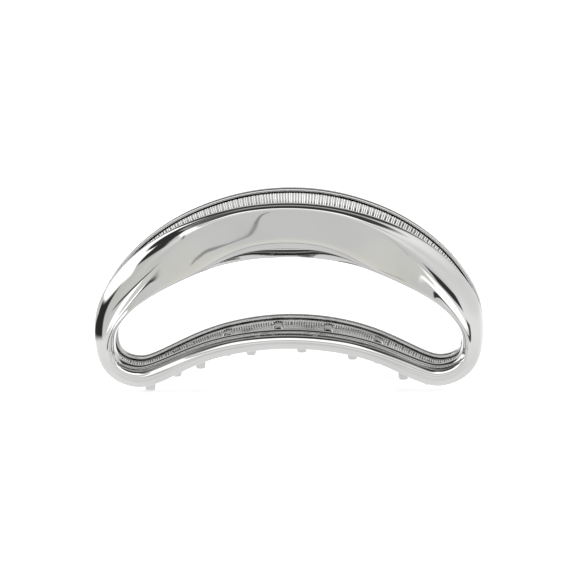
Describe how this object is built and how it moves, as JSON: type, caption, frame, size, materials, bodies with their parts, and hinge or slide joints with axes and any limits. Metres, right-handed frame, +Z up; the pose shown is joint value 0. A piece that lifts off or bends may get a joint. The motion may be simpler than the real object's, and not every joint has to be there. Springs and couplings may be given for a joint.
{
  "type": "hair claw clip",
  "caption": "Crescent hair claw clip: two open mirror-chrome jaws with ribbed liners and hooked teeth, held shut by a torsion spring on a hinge pin.",
  "frame": {"origin": "on the surface under the middle of the clip, level with the lowest tooth tips", "axes": "+X along the clip and its hinge axis, -Y out of the front jaw, +Z up from the teeth to the hinge"},
  "size_m": [0.105, 0.0404, 0.0526],
  "materials": {
    "mirror_chrome": "bright mirror plating on a smooth moulding, with faint moulding waviness",
    "liner_chrome": "the same plating on a finely ribbed face, a little duller between the ribs",
    "pin_steel": "bright drawn steel with fine lines along it",
    "spring_steel": "nickel-plated spring wire with faint drawing marks"
  },
  "bodies": {
    "front_jaw": {"front_outer_shell": "mirror_chrome", "front_ribbed_liner": "liner_chrome", "hinge_pin": "pin_steel", "torsion_spring": "spring_steel"},
    "back_jaw": {"back_outer_shell": "mirror_chrome", "back_ribbed_liner": "liner_chrome"}
  },
  "joints": [
    {"name": "jaw_hinge", "type": "hinge", "parent": "front_jaw", "child": "back_jaw", "pos_m": [0, 0, 0.0422], "axis": [1, 0, 0], "range_deg": [0, 50], "stiffness_Nm_per_rad": 0.08, "springref_deg": -57.3, "deforming": ["torsion_spring"]}
  ]
}
